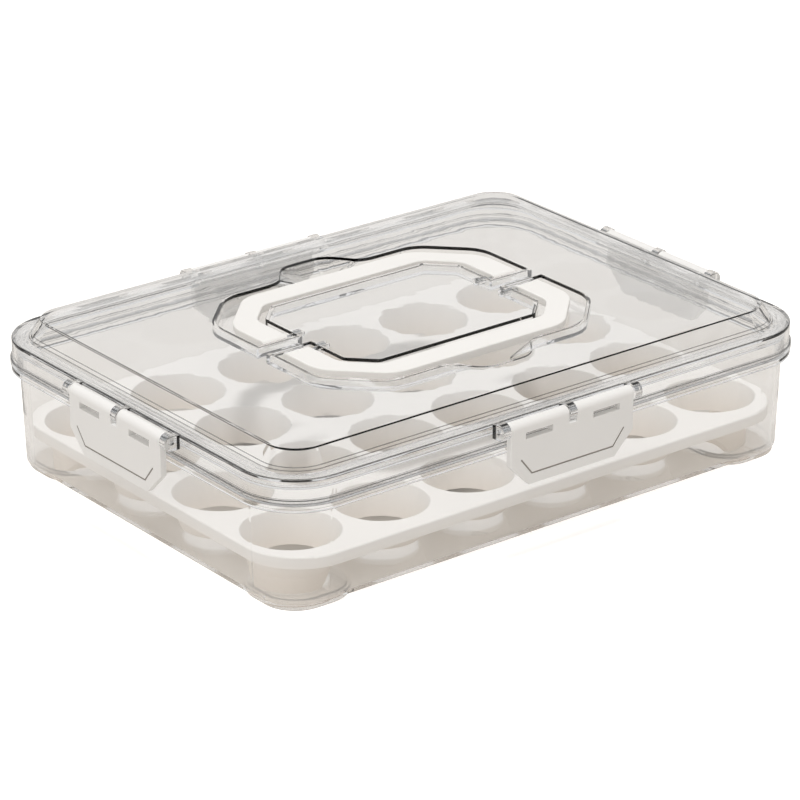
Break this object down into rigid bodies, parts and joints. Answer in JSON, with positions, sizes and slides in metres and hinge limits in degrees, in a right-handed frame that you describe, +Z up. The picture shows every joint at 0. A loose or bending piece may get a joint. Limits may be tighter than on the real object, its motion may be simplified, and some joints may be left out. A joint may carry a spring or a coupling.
{
  "type": "food storage container",
  "caption": "Low clear food storage container with a lift-out tray of round open cups, a raised lid held by a latch on each side, and two fold-flat carrying handles in the lid.",
  "frame": {"origin": "on the ground under the middle of the box", "axes": "+X along the long side, +Y along the short side to the back, +Z up"},
  "size_m": [0.3328, 0.2516, 0.0751],
  "materials": {
    "clear": "clear, smooth moulded",
    "clear_lid": "clear, smooth moulded",
    "white_tray": "white, satin moulded",
    "white_handle": "white, satin moulded",
    "white_latch": "white, satin moulded",
    "seal": "translucent soft ring",
    "pin": "drawn wire"
  },
  "bodies": {
    "base": {"base_tub": "clear"},
    "tray": {"egg_tray": "white_tray"},
    "lid": {"lid": "clear_lid", "lid_seal": "seal", "latch_pin_front": "pin", "latch_pin_back": "pin", "latch_pin_left": "pin", "latch_pin_right": "pin", "handle_pin_back_left": "pin", "handle_pin_back_right": "pin", "handle_pin_front_left": "pin", "handle_pin_front_right": "pin"},
    "front_latch": {"latch_front": "white_latch"},
    "back_latch": {"latch_back": "white_latch"},
    "left_latch": {"latch_left": "white_latch"},
    "right_latch": {"latch_right": "white_latch"},
    "back_handle": {"handle_back": "white_handle"},
    "front_handle": {"handle_front": "white_handle"}
  },
  "joints": [
    {"name": "lid_lift", "type": "slide", "parent": "base", "child": "lid", "axis": [0, 0, 1], "range_m": [0, 0.12]},
    {"name": "tray_lift", "type": "slide", "parent": "base", "child": "tray", "axis": [0, 0, 1], "range_m": [0, 0.06]},
    {"name": "front_latch_hinge", "type": "hinge", "parent": "lid", "child": "front_latch", "pos_m": [0, -0.1218, 0.0639], "axis": [-1, 0, 0], "range_deg": [0, 120]},
    {"name": "back_latch_hinge", "type": "hinge", "parent": "lid", "child": "back_latch", "pos_m": [0, 0.1218, 0.0639], "axis": [1, 0, 0], "range_deg": [0, 120]},
    {"name": "left_latch_hinge", "type": "hinge", "parent": "lid", "child": "left_latch", "pos_m": [-0.1624, 0, 0.0639], "axis": [0, 1, 0], "range_deg": [0, 120]},
    {"name": "right_latch_hinge", "type": "hinge", "parent": "lid", "child": "right_latch", "pos_m": [0.1624, 0, 0.0639], "axis": [0, -1, 0], "range_deg": [0, 120]},
    {"name": "back_handle_hinge", "type": "hinge", "parent": "lid", "child": "back_handle", "pos_m": [0, 0.00965, 0.07255], "axis": [1, 0, 0], "range_deg": [0, 95]},
    {"name": "front_handle_hinge", "type": "hinge", "parent": "lid", "child": "front_handle", "pos_m": [0, -0.00965, 0.07255], "axis": [-1, 0, 0], "range_deg": [0, 95]}
  ],
  "couplings": [
    {"joint": "tray_lift", "follows": "lid_lift", "ratio": 0.5}
  ]
}
